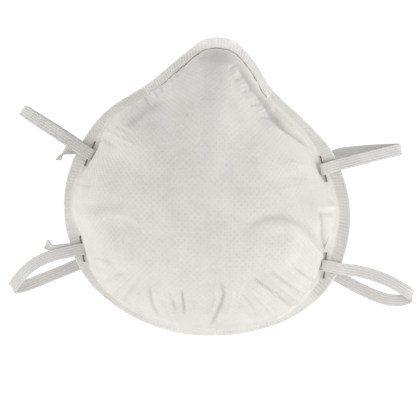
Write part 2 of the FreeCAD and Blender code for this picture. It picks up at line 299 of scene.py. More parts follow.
def line_field(u, v, pts, amp, width, fade):
    best = np.full(u.shape, 1e9)
    along = np.zeros(u.shape)
    pts = np.array(pts, float)
    # rounded by resampling a Catmull-Rom through the points
    ext = np.vstack([2 * pts[0] - pts[1], pts, 2 * pts[-1] - pts[-2]])
    fine = []
    for i in range(1, len(ext) - 2):
        for t in np.linspace(0, 1, 5)[:-1]:
            p0, p1, p2, p3 = ext[i - 1], ext[i], ext[i + 1], ext[i + 2]
            fine.append(p1 + 0.5 * t * (p2 - p0 + t * (2 * p0 - 5 * p1 + 4 * p2 - p3 + t * (3 * (p1 - p2) + p3 - p0))))
    fine.append(pts[-1])
    fine = np.array(fine)
    seg = np.hypot(*np.diff(fine, axis=0).T)
    total = seg.sum()
    near = (u > fine[:, 0].min() - 4 * width) & (u < fine[:, 0].max() + 4 * width) \
        & (v > fine[:, 1].min() - 4 * width) & (v < fine[:, 1].max() + 4 * width)
    un, vn = u[near], v[near]
    bn, an = best[near], along[near]
    done = 0.0
    for i in range(len(seg)):
        a, d = fine[i], fine[i + 1] - fine[i]
        t = np.clip(((un - a[0]) * d[0] + (vn - a[1]) * d[1]) / max(seg[i] ** 2, 1e-9), 0, 1)
        dist = np.hypot(un - a[0] - d[0] * t, vn - a[1] - d[1] * t)
        better = dist < bn
        bn = np.where(better, dist, bn)
        an = np.where(better, (done + seg[i] * t) / total, an)
        done += seg[i]
    w = np.exp(-(bn / width) ** 2)
    e = np.clip(np.minimum(an, 1 - an) / max(fade, 1e-3), 0, 1)
    out = np.zeros(u.shape)
    out[near] = amp * w * (e * e * (3 - 2 * e))
    return out


def smooth(x, lo, hi):
    t = np.clip((x - lo) / (hi - lo), 0, 1)
    return t * t * (3 - 2 * t)


PUCKERS = [(rng.uniform(0, 360), rng.choice([-1, 1]) * rng.uniform(0.12, 0.42), rng.uniform(0.7, 1.4),
            rng.uniform(4, 12), rng.uniform(-1.2, 1.2)) for _ in range(110)]
PUCKERS += [(rng.uniform(212, 332), rng.choice([-1, 1]) * rng.uniform(0.22, 0.6), rng.uniform(0.7, 1.3),
             rng.uniform(10, 22), rng.uniform(-1.0, 1.0)) for _ in range(46)]
PUCKERS += [(rng.uniform(20, 62), rng.choice([-1, 1]) * rng.uniform(0.2, 0.5), rng.uniform(0.6, 1.1),
             rng.uniform(5, 10), rng.uniform(-1.2, 1.2)) for _ in range(16)]
WAVES = [(rng.normal(size=3) * 0.09, rng.uniform(0, 6.28), rng.uniform(0.02, 0.07)) for _ in range(40)]


# Rounded hollows and swellings: middle, half sizes in the picture, turn, mm.
DENTS = [
    (217, 57, 15, 5.5, 4, -2.3),
    (246, 84, 26, 4.2, 57, -0.9),
    (275, 122, 22, 4.0, 43, -1.1),
    (326, 234, 5.5, 24, 4, -1.7),
    (334, 207, 6.0, 6.0, 0, 1.2),
    (163, 105, 9.0, 6.0, -30, -1.0),
    (302, 168, 16, 10, 30, 0.7),
    (86, 168, 12, 16, 10, -0.5),
    (312, 205, 12, 16, 10, -0.9),
    (140, 262, 22, 10, 20, 0.6),
    (215, 292, 40, 9, 0, 0.5),
    (96, 205, 16, 8, -12, -0.5),
]


class Cup:
    """The cup's surface for one inset: points and normals over angle and
    distance from the root, with all folds."""

    def __init__(self, inset, n, m, relief=1.0, fine=True):
        self.deg = np.arange(n) * 360.0 / n
        q = np.linspace(0, 1, 500)
        a, b = exps(self.deg)
        c, s = np.cos(q * math.pi / 2), np.sin(q * math.pi / 2)
        rho = c[None, :] ** (2.0 / a)[:, None]
        h = s[None, :] ** (2.0 / b)[:, None]
        root = rim_xz(self.deg, table(RIM_W, self.deg) + inset)
        x = TIP[0] + (root[:, 0] - TIP[0])[:, None] * rho
        z = TIP[1] + (root[:, 1] - TIP[1])[:, None] * rho
        y = -1.5 - h * (CUP_DEPTH - inset)
        p = np.stack([x, y, z], -1)
        step = np.linalg.norm(np.diff(p, axis=1), axis=2)
        length = np.concatenate([np.zeros((n, 1)), np.cumsum(step, 1)], 1)
        total = length[:, -1]
        # even steps, a little closer near the root
        f = np.linspace(0, 1, m)
        f = 0.75 * f + 0.25 * f ** 2
        f[-1] = 1.0
        out = np.zeros((n, m, 3))
        for i in range(n):
            for k in range(3):
                out[i, :, k] = np.interp(f * total[i], length[i], p[i, :, k])
        self.s = f[None, :] * total[:, None]
        self.total = total
        self.base = out
        # normals of the base
        du = np.roll(out, -1, 0) - np.roll(out, 1, 0)
        dv = np.gradient(out, axis=1)
        nrm = np.cross(dv, du)
        nrm /= np.maximum(np.linalg.norm(nrm, axis=2, keepdims=True), 1e-9)
        flip = np.sum(nrm * (out - np.array([TIP[0], 10.0, TIP[1]])), axis=2) < 0
        nrm[flip] *= -1
        nrm[:, -1] = (0, -1, 0)
        self.nrm = nrm
        deg = self.deg[:, None]
        sd = self.s
        th = np.radians(deg)
        # the wall swells out over the rim a little, most below and left
        over = 0.35 + 0.55 * np.clip(-np.sin(th), 0, 1) + 0.35 * np.clip(-np.cos(th), 0, 1)
        disp = over * np.exp(-((sd - 6.5) / 4.2) ** 2)
        # tucks where the cloth is welded into the rim
        if fine:
            tuck = np.zeros_like(sd)
            for d0, amp, wid, run, lean in PUCKERS:
                dd = (deg - d0 - lean * sd / 6.0 + 180) % 360 - 180
                arc = np.radians(dd) * 60.0
                tuck += amp * np.exp(-(arc / wid) ** 2) * np.exp(-np.clip(sd, 0, None) / run) * smooth(sd, 0.2, 1.6)
            disp = disp + tuck
        for k, ph, amp in WAVES:
            disp = disp + relief * amp * np.sin((out @ k) * 1.0 + ph) * smooth(sd, 2, 14)
        u, v = to_picture(warp(out).reshape(-1, 3))
        u, v = u.reshape(sd.shape), v.reshape(sd.shape)
        fold = np.zeros_like(sd)
        front = out[..., 1] < -1.5
        for pts, amp, width, fade in LINES:
            fold += line_field(u, v, pts, amp, width, fade)
        creases = fold * front * 1.6
        # broad forms: the lower bulge, fuller on the right, and flat flanks
        fold += 1.5 * np.exp(-(((u - 292) / 26) ** 2 + ((v - 252) / 24) ** 2))
        fold += 0.9 * np.exp(-(((u - 112) / 30) ** 2 + ((v - 246) / 24) ** 2))
        fold -= 0.9 * np.exp(-(((u - 296) / 24) ** 2 + ((v - 196) / 18) ** 2))
        fold -= 0.7 * np.exp(-(((u - 112) / 24) ** 2 + ((v - 192) / 18) ** 2))
        fold -= 0.8 * np.exp(-(((u - 207) / 50) ** 2 + ((v - 170) / 50) ** 2))
        for cu, cv, wu, wv, turn, amp in DENTS:
            t = math.radians(turn)
            du = ((u - cu) * math.cos(t) + (v - cv) * math.sin(t)) / wu
            dv = (-(u - cu) * math.sin(t) + (v - cv) * math.cos(t)) / wv
            form = amp * np.exp(-(du ** 2 + dv ** 2) ** 1.25)
            fold += form
            creases += 0.55 * np.minimum(form, 0) * front
        fold = np.where(fold < 0, -2.5 * np.tanh(-fold / 2.5), fold)
        fold *= front * smooth(sd, 0.0, 2.0)
        lean = nrm + np.array([0.0, -0.45, 0.0])
        lean /= np.linalg.norm(lean, axis=2, keepdims=True)
        self.p = warp(out + nrm * disp[..., None] + lean * (relief * fold)[..., None])
        c1, s1 = np.cos(th), np.sin(th)
        rr = total[:, None] * 1.0 - sd
        # painted shade: creases and dents are painted darker by their depth, and the foot of the wall, in the corner of
        # the rim, is painted darker too
        painted_shade = np.clip(-creases * 0.45, 0, 1.25) if fine else np.zeros_like(rr)
        painted_shade = painted_shade + 0.55 * np.exp(-(sd / 1.3) ** 2)
        self.flat = np.stack([rr * c1 + 0 * sd, rr * s1 + 0 * sd, np.zeros_like(rr), painted_shade], -1)


def weld_pattern(deg, inset, width):
    """Height of the pressed knurl on the rim: short radial bars in a groove."""
    arc = np.radians(deg) * 64.0
    bars = 0.5 + 0.5 * np.cos(arc * 2 * math.pi / 1.5)
    reach = np.minimum(0.66 * width, 5.6)
    band = smooth(inset, 0.35, 0.7) * (1 - smooth(inset, reach - 0.1, reach + 0.35))
    cross = 0.86 + 0.14 * np.cos(inset * 2 * math.pi / 1.45)
    patchy = 0.75 + 0.25 * np.sin(deg * 0.11 + 1.3) * np.sin(deg * 0.37)
    return -0.27 * band * cross * (0.52 + 0.48 * bars * patchy)


def layer(name, inset_out, inset_in, y_front, y_back, n, m, material, relief_out=1.0, relief_in=1.0, press_front=1.0, press_back=0.0):
    """One pressed layer: cup front, rim front, rim edge, rim back, cup back."""
    R = Rings()
    fine_n = 3 * n
    cup = Cup(inset_out, n, m, relief_out)
    for j in range(m - 2, -1, -1):
        if j == 0:
            break
        R.ring(cup.p[:, j], cup.flat[:, j])
    R.pole(cup.p[:, -1].mean(0), True, cup.flat[:, -1].mean(0))
    degn = cup.deg
    degf = np.arange(fine_n) * 360.0 / fine_n
    wn = table(RIM_W, degn)
    wf = table(RIM_W, degf)

    def rim_ring(deg, inset, y, press):
        w = table(RIM_W, deg)
        xz = rim_xz(deg, inset)
        yy = y - press * weld_pattern(deg, inset, w)
        p = np.stack([xz[:, 0], np.broadcast_to(yy, xz[:, 0].shape), xz[:, 1]], -1)
        r = np.hypot(xz[:, 0], xz[:, 1]) + 20
        a = np.radians(deg)
        # painted shade: the rim is painted darker in its pressed weld grooves, more on its wide right-hand parts, and
        # darker again over its right-hand side
        rim_shade = -press * weld_pattern(deg, inset, w) / 0.3 * (0.8 + 0.9 * smooth(w, 5.5, 8.5) * (np.cos(a) > 0))
        rim_shade = rim_shade + press * 0.55 * smooth(xz[:, 0], 55.0, 66.0)
        rim_shade = np.broadcast_to(rim_shade, r.shape)
        return warp(p), np.stack([r * np.cos(a), r * np.sin(a), np.ones_like(r), rim_shade], -1)

    # foot of the wall, in the corner of the rim
    p, f = rim_ring(degn, wn + inset_out + 0.0, y_front - 0.12, 0)
    R.ring(p, f)
    steps = 14
    for k in range(steps + 1):
        t = k / steps
        inset = (wf + inset_out) * (1 - t) * 0.97 + 0.16 * t
        if k == 0:
            inset = wf + inset_out - 0.25
        p, f = rim_ring(degf, inset, y_front, press_front)
        R.ring(p, f)
    frayed = 0.10 * np.sin(degf * 1.7) * np.sin(degf * 0.63 + 1) + 0.05 * np.sin(degf * 5.1)
    ym = (y_front + y_back) / 2
    for inset, y in ((0.04, y_front + 0.10), (0.0, ym), (0.04, y_back - 0.10)):
        p, f = rim_ring(degf, inset + frayed * 0.6, y, 0)
        R.ring(p, f)
    p, f = rim_ring(degf, 0.16, y_back, press_back)
    R.ring(p, f)
    steps = 9
    for k in range(1, steps + 1):
        t = k / steps
        p, f = rim_ring(degf, 0.16 * (1 - t) + (wf + inset_in) * t, y_back, press_back)
        R.ring(p, f)
    inner = Cup(inset_in, n, max(m * 2 // 3, 20), relief_in, fine=False)
    for j in range(1, inner.p.shape[1] - 1):
        R.ring(inner.p[:, j], inner.flat[:, j])
    R.pole(inner.p[:, -1].mean(0), False, inner.flat[:, -1].mean(0))
    v, f, flat = R.done()
    ob = new_mesh(name, v, f, "mask", material)
    add_flat(ob, flat)
    return ob


# ------------------------------------------------------------------ materials
def material(name):
    m = bpy.data.materials.new(name)
    m.use_nodes = True
    nt = m.node_tree
    nt.nodes.clear()
    out = nt.nodes.new("ShaderNodeOutputMaterial")
    b = nt.nodes.new("ShaderNodeBsdfPrincipled")
    nt.links.new(b.outputs[0], out.inputs[0])
    return m, nt, b


def node(nt, kind, links=(), **values):
    n = nt.nodes.new(kind)
    for k, v in values.items():
        if k.startswith("i_"):
            key = k[2:]
            n.inputs[int(key) if key.isdigit() else key.replace("_", " ")].default_value = v
        else:
            setattr(n, k, v)
    for socket, source in links:
        nt.links.new(source, n.inputs[socket])
    return n


def mathn(nt, op, a, b=None, c=None):
    n = nt.nodes.new("ShaderNodeMath")
    n.operation = op
    for i, x in enumerate((a, b, c)):
        if x is None:
            continue
        if isinstance(x, (int, float)):
            n.inputs[i].default_value = x
        else:
            nt.links.new(x, n.inputs[i])
    return n.outputs[0]


def ramp(nt, fac, stops):
    n = nt.nodes.new("ShaderNodeValToRGB")
    el = n.color_ramp.elements
    while len(el) < len(stops):
        el.new(0.5)
    for e, (pos, col) in zip(el, stops):
        e.position = pos
        e.color = (*col, 1) if len(col) == 3 else col
    nt.links.new(fac, n.inputs[0])
    return n.outputs[0]


def nonwoven(name, base, dark, light, emboss, fuzz=1.0, pitch=2.05, rough=0.85, rim_painted_light=0.20):
    """Nonwoven cloth: tangled fibres, and embossed bond points in a lattice."""
    m, nt, b = material(name)
    flat = node(nt, "ShaderNodeAttribute", attribute_name="flat")
    obj = node(nt, "ShaderNodeTexCoord")
    sep = node(nt, "ShaderNodeSeparateXYZ", [(0, flat.outputs["Vector"])])
    x, y, rimflag = sep.outputs[0], sep.outputs[1], sep.outputs[2]
    # bond points: product of two slanted cosine waves
    k = 2 * math.pi / pitch
    s1 = mathn(nt, "COSINE", mathn(nt, "MULTIPLY", mathn(nt, "ADD", x, y), k * 0.72))
    s2 = mathn(nt, "COSINE", mathn(nt, "MULTIPLY", mathn(nt, "SUBTRACT", x, y), k * 0.72))
    dots = mathn(nt, "MULTIPLY", mathn(nt, "ADD", s1, 1.0), mathn(nt, "ADD", s2, 1.0))
    dots = mathn(nt, "MULTIPLY", dots, 0.25)
    dots = mathn(nt, "POWER", dots, 1.6)
    offrim = mathn(nt, "SUBTRACT", 1.0, rimflag)
    dots = mathn(nt, "MULTIPLY", dots, offrim)
    # fibres: stretched noise in three directions
    mp = node(nt, "ShaderNodeMapping", [(0, obj.outputs["Object"])], i_Scale=(1.0, 1.0, 1.0))
    fib = []
    for i, (sc, rot) in enumerate((((700, 90, 700), (0.3, 0.2, 0.5)), ((90, 700, 700), (0.1, 0.9, 1.2)), ((700, 700, 90), (0.5, 0.4, 0.1)))):
        mp = node(nt, "ShaderNodeMapping", [(0, obj.outputs["Object"])], i_Rotation=rot, i_Scale=sc)
        nz = node(nt, "ShaderNodeTexNoise", [(0, mp.outputs[0])], i_Scale=1.6, i_Detail=4.0, i_Roughness=0.65)
        fib.append(nz.outputs[0])
    fibre = mathn(nt, "MULTIPLY", mathn(nt, "ADD", mathn(nt, "ADD", fib[0], fib[1]), fib[2]), 0.3333)
    cloud = node(nt, "ShaderNodeTexNoise", [(0, obj.outputs["Object"])], i_Scale=85.0, i_Detail=5.0, i_Roughness=0.6)
    broad = node(nt, "ShaderNodeTexNoise", [(0, obj.outputs["Object"])], i_Scale=22.0, i_Detail=3.0, i_Roughness=0.5)
    tone = mathn(nt, "ADD", mathn(nt, "MULTIPLY", fibre, 0.45), mathn(nt, "MULTIPLY", cloud.outputs[0], 0.35))
    tone = mathn(nt, "ADD", tone, mathn(nt, "MULTIPLY", broad.outputs[0], 0.2))
    tone = mathn(nt, "SUBTRACT", tone, mathn(nt, "MULTIPLY", dots, 0.07 * emboss))
    col = ramp(nt, tone, [(0.30, dark), (0.5, base), (0.68, light)])
    # painted shade: the colour is darkened by the per-point value, in creases, pressed pits and the corner of the rim
    shade_node = node(nt, "ShaderNodeAttribute", attribute_name="painted_shade")
    # painted light: rim points are painted a fifth lighter, making up for the cup's shade on the rim and the dim light
    # in front
    painted_gain = mathn(nt, "MULTIPLY_ADD", rimflag, rim_painted_light, 1.0)
    painted_gain = mathn(nt, "SUBTRACT", painted_gain, mathn(nt, "MULTIPLY", shade_node.outputs["Fac"], 0.21))
    scaled = node(nt, "ShaderNodeVectorMath", [(0, col), ("Scale", painted_gain)], operation="SCALE")
    nt.links.new(scaled.outputs[0], b.inputs["Base Color"])
    b.inputs["Roughness"].default_value = rough
    b.inputs["Specular IOR Level"].default_value = 0.25
    b.inputs["Sheen Weight"].default_value = 0.18
    b.inputs["Sheen Roughness"].default_value = 0.55
    b.inputs["Sheen Tint"].default_value = (1, 0.99, 0.97, 1)
    b.inputs["Subsurface Weight"].default_value = 0.12
    b.inputs["Subsurface Radius"].default_value = (1.0, 0.95, 0.9)
    b.inputs["Subsurface Scale"].default_value = 0.0012
    height = mathn(nt, "SUBTRACT", mathn(nt, "MULTIPLY", fibre, 0.55 * fuzz), mathn(nt, "MULTIPLY", dots, 0.95 * emboss))
    height = mathn(nt, "ADD", height, mathn(nt, "MULTIPLY", cloud.outputs[0], 0.25 * fuzz))
    bump = node(nt, "ShaderNodeBump", [("Height", height)], i_Strength=0.55, i_Distance=0.00022)
    nt.links.new(bump.outputs[0], b.inputs["Normal"])
    return m


COVER = nonwoven("cover_nonwoven", (0.735, 0.711, 0.678), (0.630, 0.608, 0.578), (0.795, 0.773, 0.744), 1.0)
FELT = nonwoven("shell_felt", (0.74, 0.73, 0.705), (0.64, 0.63, 0.605), (0.80, 0.79, 0.765), 0.0, fuzz=1.6, rough=0.92)
WEB = nonwoven("filter_web", (0.78, 0.78, 0.765), (0.72, 0.72, 0.71), (0.83, 0.83, 0.82), 0.0, fuzz=0.8)
# the strip cloth is whiter than the cover, and part of its lightness is painted light, making up for the dim light that
# reaches the rim
STRIP = nonwoven("strip_nonwoven", (0.90, 0.883, 0.848), (0.77, 0.755, 0.725), (0.95, 0.935, 0.905), 0.0, fuzz=1.3)


def metal(name, base, rough, lines):
    m, nt, b = material(name)
    obj = node(nt, "ShaderNodeTexCoord")
    mp = node(nt, "ShaderNodeMapping", [(0, obj.outputs["Object"])], i_Scale=lines)
    nz = node(nt, "ShaderNodeTexNoise", [(0, mp.outputs[0])], i_Scale=2.0, i_Detail=4.0, i_Roughness=0.6)
    spots = node(nt, "ShaderNodeTexNoise", [(0, obj.outputs["Object"])], i_Scale=900.0, i_Detail=3.0)
    col = ramp(nt, spots.outputs[0], [(0.35, tuple(0.72 * c for c in base)), (0.6, base), (0.8, tuple(min(1, 1.12 * c) for c in base))])
    nt.links.new(col, b.inputs["Base Color"])
    b.inputs["Metallic"].default_value = 1.0
    r = mathn(nt, "ADD", mathn(nt, "MULTIPLY", nz.outputs[0], 0.25), rough - 0.1)
    nt.links.new(r, b.inputs["Roughness"])
    bump = node(nt, "ShaderNodeBump", [("Height", nz.outputs[0])], i_Strength=0.3, i_Distance=0.00003)
    nt.links.new(bump.outputs[0], b.inputs["Normal"])
    return m


STEEL = metal("staple_wire", (0.17, 0.165, 0.155), 0.36, (300, 300, 1500))
ALU = metal("clip_aluminium", (0.70, 0.70, 0.71), 0.42, (200, 1200, 1200))


def elastic_material():
    m, nt, b = material("elastic_tape")
    flat = node(nt, "ShaderNodeAttribute", attribute_name="flat")
    sep = node(nt, "ShaderNodeSeparateXYZ", [(0, flat.outputs["Vector"])])
    s, v = sep.outputs[0], sep.outputs[1]
    obj = node(nt, "ShaderNodeTexCoord")
    # knitted chevrons between rubber threads, pitch about 0.8 mm
    zig = mathn(nt, "ABSOLUTE", mathn(nt, "SUBTRACT", mathn(nt, "FRACT", mathn(nt, "MULTIPLY", v, 0.91)), 0.5))
    knit = mathn(nt, "SINE", mathn(nt, "MULTIPLY", mathn(nt, "ADD", s, mathn(nt, "MULTIPLY", zig, 1.1)), 2 * math.pi / 0.8))
    knit = mathn(nt, "MULTIPLY_ADD", knit, 0.5, 0.5)
    rib = mathn(nt, "MULTIPLY_ADD", mathn(nt, "COSINE", mathn(nt, "MULTIPLY", v, 2 * math.pi * 0.91)), 0.5, 0.5)
    nz = node(nt, "ShaderNodeTexNoise", [(0, obj.outputs["Object"])], i_Scale=1400.0, i_Detail=3.0, i_Roughness=0.6)
    cl = node(nt, "ShaderNodeTexNoise", [(0, obj.outputs["Object"])], i_Scale=60.0, i_Detail=3.0, i_Roughness=0.5)
    tone = mathn(nt, "ADD", mathn(nt, "MULTIPLY", knit, 0.12), mathn(nt, "MULTIPLY", nz.outputs[0], 0.36))
    tone = mathn(nt, "ADD", tone, mathn(nt, "MULTIPLY", cl.outputs[0], 0.34))
    tone = mathn(nt, "ADD", tone, mathn(nt, "MULTIPLY", rib, 0.18))
    col = ramp(nt, tone, [(0.26, (0.53, 0.512, 0.488)), (0.50, (0.685, 0.668, 0.642)), (0.74, (0.79, 0.775, 0.75))])
    nt.links.new(col, b.inputs["Base Color"])
    b.inputs["Roughness"].default_value = 0.78
    b.inputs["Specular IOR Level"].default_value = 0.3
    b.inputs["Sheen Weight"].default_value = 0.15
    b.inputs["Sheen Roughness"].default_value = 0.5
    h = mathn(nt, "ADD", mathn(nt, "MULTIPLY", knit, 0.6), mathn(nt, "MULTIPLY", nz.outputs[0], 0.3))
    bump = node(nt, "ShaderNodeBump", [("Height", h)], i_Strength=0.4, i_Distance=0.00010)
    nt.links.new(bump.outputs[0], b.inputs["Normal"])
    return m


TAPE = elastic_material()


def foam_material():
    m, nt, b = material("nose_foam")
    obj = node(nt, "ShaderNodeTexCoord")
    vor = node(nt, "ShaderNodeTexVoronoi", [(0, obj.outputs["Object"])], i_Scale=1500.0)
    nz = node(nt, "ShaderNodeTexNoise", [(0, obj.outputs["Object"])], i_Scale=420.0, i_Detail=4.0)
    tone = mathn(nt, "ADD", mathn(nt, "MULTIPLY", vor.outputs[0], 0.6), mathn(nt, "MULTIPLY", nz.outputs[0], 0.5))
    col = ramp(nt, tone, [(0.2, (0.50, 0.50, 0.50)), (0.5, (0.66, 0.66, 0.655)), (0.8, (0.74, 0.74, 0.735))])
    nt.links.new(col, b.inputs["Base Color"])
    b.inputs["Roughness"].default_value = 0.95
    bump = node(nt, "ShaderNodeBump", [("Height", tone)], i_Strength=0.9, i_Distance=0.00025)
    nt.links.new(bump.outputs[0], b.inputs["Normal"])
    return m


FOAM = foam_material()

# ------------------------------------------------------------------ the cup
T_COVER, T_FILTER, T_SHELL, GAP = 0.5, 0.9, 1.1, 0.05
i1 = T_COVER
i2 = i1 + GAP + T_FILTER
i3 = i2 + GAP + T_SHELL
N, M = 648, 138
cover = layer("outer_cover_cloth", 0.0, i1, -1.5, -1.04, N, M, COVER, 1.0, 0.9, 1.0, 0.0)
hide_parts("outer_cover")
web = layer("filter_web_layer", i1 + GAP + 0.05, i2, -0.99, -0.52, 180, 40, WEB, 0.85, 0.7, 0.0, 0.0)
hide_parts("filter_layer")
felt = layer("inner_shell_felt", i2 + GAP, i3, -0.48, 0.0, 324, 80, FELT, 0.55, 0.16, 0.0, 0.6)
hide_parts("inner_shell")


# ------------------------------------------- strips along the rim: clip, foam
def rim_strip(name, d0, d1, outer, inner, y0, y1, material, n, k, crown=0.0, edge=0.25, pattern=None, body="mask"):
    """Closed strip along the rim. outer and inner give X, Z for an angle; y0
    is its underside and y1 its top. k rows across the top."""
    deg = np.linspace(d0, d1, n)
    po, pi = outer(deg), inner(deg)
    span = np.linalg.norm(po - pi, axis=1)
    loops = []
    ts = np.linspace(0, 1, k)
    for i in range(n):
        endt = min(1.0, min(i, n - 1 - i) / 3.0)
        rise = math.sin(endt * math.pi / 2)
        loop = []
        for t in ts:
            e = min(t, 1 - t) * span[i]
            r = 1 - (1 - min(e / edge, 1.0)) ** 2
            top = y0 + (y1 - y0) * (0.35 + 0.65 * math.sqrt(max(r, 0))) * (0.3 + 0.7 * rise) + crown * 4 * t * (1 - t) * (1 if y1 > y0 else -1)
            if pattern is not None:
                top += pattern(deg[i], t, e)
            xz = po[i] * (1 - t) + pi[i] * t
            loop.append((xz[0], top, xz[1]))
        loop.append((pi[i][0], y0, pi[i][1]))
        loop.append((po[i][0], y0, po[i][1]))
        loops.append(loop)
    v = warp(np.array(loops).reshape(-1, 3))
    c = k + 2
    f = []
    for i in range(n - 1):
        for j in range(c):
            jj = (j + 1) % c
            f.append((i * c + j, (i + 1) * c + j, (i + 1) * c + jj, i * c + jj))
    f.append(tuple(range(c)))
    f.append(tuple((n - 1) * c + j for j in range(c - 1, -1, -1)))
    ob = new_mesh(name, v, f, body, material)
    arc = np.radians(deg) * 60
    flat = np.zeros((n, c, 4))
    flat[..., 0] = arc[:, None]
    flat[:, :k, 1] = ts[None, :] * span[:, None]
    # painted shade: the strip's pressed knurl pits are painted darker by their depth
    if pattern is not None:
        for i in range(n):
            for j, t in enumerate(ts):
                e = min(t, 1 - t) * span[i]
                flat[i, j, 3] = pattern(deg[i], t, e) / 0.30
    add_flat(ob, flat.reshape(-1, 4))
    return ob


clip = rim_strip("nose_clip_metal", 59.0, 119.0, lambda d: rim_xz(d, 0.5), lambda d: rim_xz(d, 4.1), -1.52, -2.3, ALU, 90, 7, edge=0.2)
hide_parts("nose_clip")


def knurl(deg, t, e):
    """Pressed grid on the strip over the clip."""
    arc = math.radians(deg) * 60
    a = 0.5 + 0.5 * math.cos(arc * 2 * math.pi / 1.3)
    b = 0.5 + 0.5 * math.cos(e * 2 * math.pi / 1.05)
    return 0.16 * a * b * min(1, e / 0.8)


strip = rim_strip("nose_strip_cloth", 56.6, 121.4, lambda d: rim_xz(d, -0.05), lambda d: rim_xz(d, 4.85), -1.45, -2.62, STRIP, 620, 27,
                  edge=0.7, pattern=knurl)
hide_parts("nose_clip_strip")


# foam: a soft strip with a round face, glued inside the nose
def foam_piece():
    n, prof = 110, []
    deg = np.linspace(62.5, 116.5, n)
    y = np.linspace(-0.9, -9.8, 9)
    a, b = exps(deg)
    loops = []
    for i in range(n):
        endt = min(1.0, min(i, n - 1 - i) / 5.0)
        rise = math.sqrt(max(0.0, 1 - (1 - endt) ** 2))
        outer_side, inner_side = [], []
        root = rim_xz(deg[i:i + 1], table(RIM_W, deg[i:i + 1]) + i3 + 0.45)[0]
        for yy in y:
            h = max(0.0, (-yy - 1.5) / (CUP_DEPTH - i3))
            rho = (1 - h ** b[i]) ** (1 / a[i])
            p = TIP + (root - TIP) * rho
            dirn = (p - TIP) / np.linalg.norm(p - TIP)
            across = (yy - y[0]) / (y[-1] - y[0])
            bulge = 3.5 * (0.32 + 0.68 * math.sqrt(max(0.0, 1 - (2 * across - 1) ** 4))) * (0.35 + 0.65 * rise)
            bulge += 0.10 * math.sin(deg[i] * 1.9) + 0.07 * math.sin(deg[i] * 4.3 + yy)
            outer_side.append((p[0], yy, p[1]))
            q = p - dirn * bulge
            inner_side.append((q[0], yy, q[1]))
        loops.append(outer_side + inner_side[::-1])
    c = len(loops[0])
    v = warp(np.array(loops).reshape(-1, 3))
    f = []
    for i in range(n - 1):
        for j in range(c):
            jj = (j + 1) % c
            f.append((i * c + j, i * c + jj, (i + 1) * c + jj, (i + 1) * c + j))
    f.append(tuple(range(c - 1, -1, -1)))
    f.append(tuple((n - 1) * c + j for j in range(c)))
    return new_mesh("nose_foam_pad", v, f, "mask", FOAM)


foam = foam_piece()
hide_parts("nose_foam")


# ------------------------------------------------------------------- staples
def wire_mesh(name, path, radius, flatten, up, material, sides=12):
    path = np.array(path, float)
    n = len(path)
    t = np.gradient(path, axis=0)
    t /= np.linalg.norm(t, axis=1, keepdims=True)
    u = np.array(up, float)
    verts, faces = [], []
    for i in range(n):
        s = np.cross(t[i], u)
        if np.linalg.norm(s) < 1e-6:
            s = np.array([1.0, 0, 0])
        s /= np.linalg.norm(s)
        w = np.cross(s, t[i])
        for k in range(sides):
            a = 2 * math.pi * k / sides
            verts.append(path[i] + s * radius * math.cos(a) + w * radius * flatten * math.sin(a))
    for i in range(n - 1):
        for k in range(sides):
            kk = (k + 1) % sides
            faces.append((i * sides + k, i * sides + kk, (i + 1) * sides + kk, (i + 1) * sides + k))
    faces.append(tuple(range(sides - 1, -1, -1)))
    faces.append(tuple((n - 1) * sides + k for k in range(sides)))
    return new_mesh(name, verts, faces, "mask", material)


def staple_path(at, way):
    k = math.hypot(*way)
    t = np.array([way[0] / k, 0, way[1] / k])
    c = np.array([at[0], 0, at[1]])
    yc = -2.45
    half = 5.75
    pts = []
    r = 0.45

    def corner(p, a, b, n=5):
        # from p - a*r round to p + b*r
        out = []
        for i in range(n + 1):
            f = i / n
            out.append((1 - f) ** 2 * (p - a * r) + 2 * f * (1 - f) * p + f ** 2 * (p + b * r))
        return out

    yb = 0.32
    e0, e1 = c - t * half, c + t * half
    Y = np.array([0.0, 1.0, 0.0])
    low0 = e0 + Y * yb
    low1 = e1 + Y * yb
    pts += [low0 + t * 4.2 + Y * 0.10, low0 + t * 3.0 + Y * 0.16, low0 + t * 1.6 + Y * 0.1]
    pts += corner(low0 + Y * 0.0, -t, -Y)
    pts += [e0 + Y * (yc * 0.4)]
    pts += corner(e0 + Y * yc, -Y, t)
    for f in np.linspace(0.12, 0.88, 9):
        p = e0 + (e1 - e0) * f + Y * yc
        pts.append(p + Y * 0.10 * math.sin(math.pi * f))
    pts += corner(e1 + Y * yc, t, Y)
    pts += [e1 + Y * (yc * 0.4)]
    pts += corner(low1, Y, -t)
    pts += [low1 - t * 1.6 + Y * 0.1, low1 - t * 3.0 + Y * 0.16, low1 - t * 4.2 + Y * 0.10]
    return warp(np.array(pts)), t


for key, (at, way) in STAPLES.items():
    path, t = staple_path(at, way)
    side = np.cross(t, np.array([0, 1.0, 0]))
    st = wire_mesh(key + "_staple_wire", path, 0.37, 0.85, side, STEEL)
    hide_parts(key + "_staple")


# ----------------------------------------------------------------- headbands
BAND_W, BAND_T = 5.5, 0.7
Y_LOW = -1.5 - BAND_T / 2
Y_UP = -1.5 - BAND_T - 0.6 - BAND_T / 2


def root_stations(at, along, tail):
    k = math.hypot(*along)
    d = np.array([along[0] / k, 0, along[1] / k])
    w = np.array([-d[2], 0, d[0]]) if d[0] > 0 else np.array([d[2], 0, -d[0]])
    c = np.array([at[0], 0, at[1]])
    r = (Y_LOW - Y_UP) / 2
    mid = (Y_LOW + Y_UP) / 2
    Y = np.array([0, 1.0, 0])
    st = [(c + d * s + Y * Y_LOW, w) for s in tail]
    bk = c - d * 0.7
    st.append((bk + Y * Y_LOW, w))
    for k in range(1, 6):
        a = math.pi * k / 6
        st.append((bk - d * (r * math.sin(a)) + Y * (mid + r * math.cos(a)), w))
    st.append((bk + Y * Y_UP, w))
    st.append((bk + d * 2.4 + Y * (Y_UP + 0.02), w))
    return st, c, d, w


def run(points, w):
    return [(np.array(p, float), np.array(w, float)) for p in points]


def shift(st, i, dx, dy, dz, w=None):
    st[i] = (st[i][0] + np.array([dx, dy, dz]), st[i][1] if w is None else np.array(w, float))


